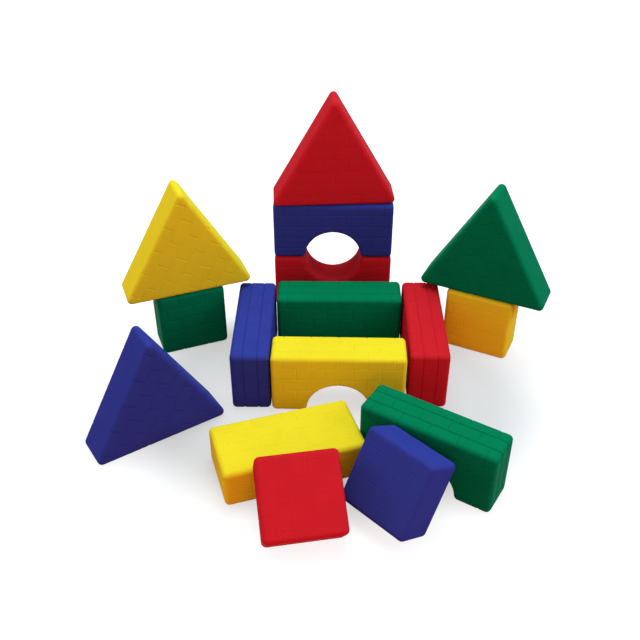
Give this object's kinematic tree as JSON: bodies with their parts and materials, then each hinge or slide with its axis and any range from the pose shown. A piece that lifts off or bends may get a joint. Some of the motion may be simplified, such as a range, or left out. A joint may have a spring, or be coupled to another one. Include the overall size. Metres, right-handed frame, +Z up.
{
  "type": "giant building block set",
  "caption": "Castle of giant soft play blocks with a pressed brick pattern: long blocks, arches, squares and triangles that stack, lean and lift apart.",
  "frame": {"origin": "on the floor, at the middle of the outline of the whole set seen from above", "axes": "+X to the right along the castle's front and back walls, +Y from the gate to the tower at the back, +Z up"},
  "size_m": [1.0552, 0.9448, 0.5627],
  "materials": {
    "red": "satin moulded skin of closed-cell foam with a pressed brick pattern",
    "blue": "satin moulded skin of closed-cell foam with a pressed brick pattern",
    "yellow": "satin moulded skin of closed-cell foam with a pressed brick pattern",
    "green": "satin moulded skin of closed-cell foam with a pressed brick pattern"
  },
  "bodies": {
    "red_triangle": {"red_triangle": "red"},
    "blue_arch": {"blue_arch": "blue"},
    "red_arch": {"red_arch": "red"},
    "yellow_triangle": {"yellow_triangle": "yellow"},
    "green_square": {"green_square": "green"},
    "green_triangle": {"green_triangle": "green"},
    "yellow_square": {"yellow_square": "yellow"},
    "blue_block": {"blue_block": "blue"},
    "green_block": {"green_block": "green"},
    "red_block": {"red_block": "red"},
    "yellow_arch": {"yellow_arch": "yellow"},
    "blue_triangle": {"blue_triangle": "blue"},
    "yellow_block": {"yellow_block": "yellow"},
    "red_square": {"red_square": "red"},
    "blue_square": {"blue_square": "blue"},
    "green_arch": {"green_arch": "green"}
  },
  "joints": [
    {"name": "left_wall_slide", "type": "slide", "parent": "green_block", "child": "blue_block", "axis": [0, -1, 0], "range_m": [0, 0.1]},
    {"name": "right_wall_slide", "type": "slide", "parent": "green_block", "child": "red_block", "axis": [0, -1, 0], "range_m": [0, 0.1]},
    {"name": "gate_lift", "type": "slide", "parent": "green_block", "child": "yellow_arch", "axis": [0, 0, 1], "range_m": [0, 0.2]},
    {"name": "tower_foot_lift", "type": "slide", "parent": "green_block", "child": "red_arch", "axis": [0, 0, 1], "range_m": [0, 0.2]},
    {"name": "tower_top_lift", "type": "slide", "parent": "red_arch", "child": "blue_arch", "axis": [0, 0, 1], "range_m": [0, 0.2]},
    {"name": "tower_roof_lift", "type": "slide", "parent": "blue_arch", "child": "red_triangle", "axis": [0, 0, 1], "range_m": [0, 0.3]},
    {"name": "left_turret_lift", "type": "slide", "parent": "green_block", "child": "green_square", "axis": [0, 0, 1], "range_m": [0, 0.2]},
    {"name": "left_roof_lift", "type": "slide", "parent": "green_square", "child": "yellow_triangle", "axis": [0, 0, 1], "range_m": [0, 0.3]},
    {"name": "right_turret_lift", "type": "slide", "parent": "green_block", "child": "yellow_square", "axis": [0, 0, 1], "range_m": [0, 0.2]},
    {"name": "right_roof_lift", "type": "slide", "parent": "yellow_square", "child": "green_triangle", "axis": [0, 0, 1], "range_m": [0, 0.3]},
    {"name": "loose_triangle_lift", "type": "slide", "parent": "green_block", "child": "blue_triangle", "axis": [0, 0, 1], "range_m": [0, 0.2]},
    {"name": "lying_block_slide", "type": "slide", "parent": "green_block", "child": "yellow_block", "axis": [-0.9511, -0.309, 0], "range_m": [0, 0.12]},
    {"name": "loose_arch_slide", "type": "slide", "parent": "green_block", "child": "green_arch", "axis": [0.8526, -0.5225, 0], "range_m": [0, 0.12]},
    {"name": "red_square_tip", "type": "hinge", "parent": "yellow_block", "child": "red_square", "pos_m": [-0.04735, -0.41015, 0.01], "axis": [0.9848, 0.1736, 0], "range_deg": [0, 53.5]},
    {"name": "blue_square_tip", "type": "hinge", "parent": "green_arch", "child": "blue_square", "pos_m": [0.1277, -0.34345, 0.01], "axis": [0.7132, -0.7009, 0], "range_deg": [0, 20]}
  ]
}
